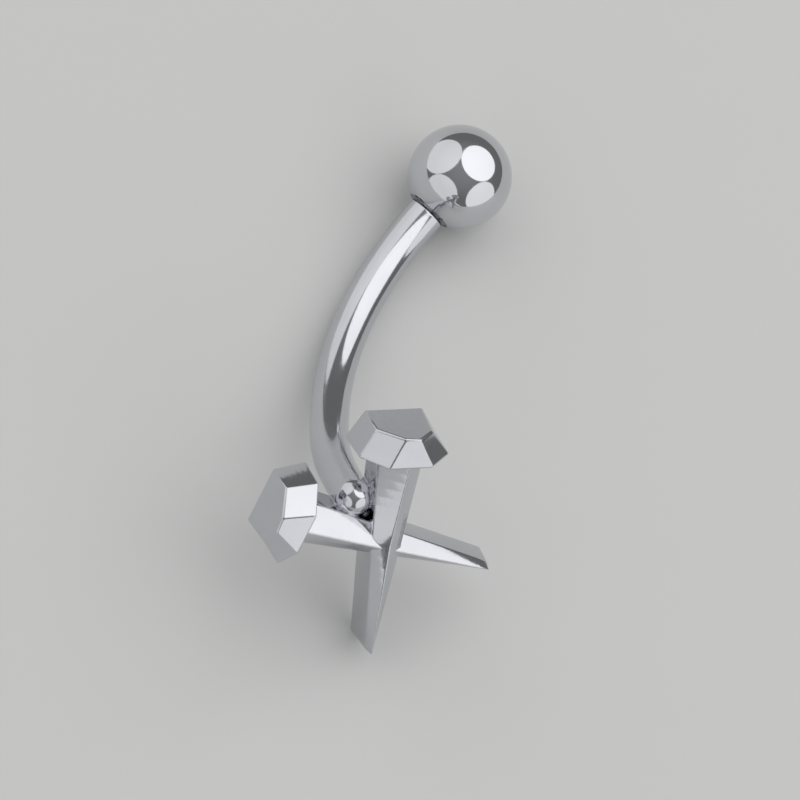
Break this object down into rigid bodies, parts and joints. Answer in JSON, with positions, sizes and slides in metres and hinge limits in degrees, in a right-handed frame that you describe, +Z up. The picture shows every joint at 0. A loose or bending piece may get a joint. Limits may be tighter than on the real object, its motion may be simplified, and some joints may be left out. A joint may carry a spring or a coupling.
{
  "type": "vertical labret",
  "caption": "Curved piercing bar with a screw-on ball at one end and crossed square-cut nails with faceted rose heads soldered to the other, in polished steel",
  "frame": {"origin": "Under the middle of the box, on the surface that the part lies on.", "axes": "Z is up as the part lies by itself on the ball, the bar's bend and one nail's tip. Y runs from the crossed nails towards the ball, and X to the right seen from the nails."},
  "size_m": [0.0094, 0.0168, 0.0071],
  "materials": {
    "bar_steel": "mirror polished steel",
    "ball_steel": "mirror polished steel"
  },
  "bodies": {
    "bar": {"barbell_and_nails": "bar_steel"},
    "ball": {"screw_ball": "ball_steel"}
  },
  "joints": [
    {"name": "ball_screw", "type": "slide", "parent": "bar", "child": "ball", "axis": [0.1139, 0.9409, 0.3191], "range_m": [0, 0.002]}
  ]
}
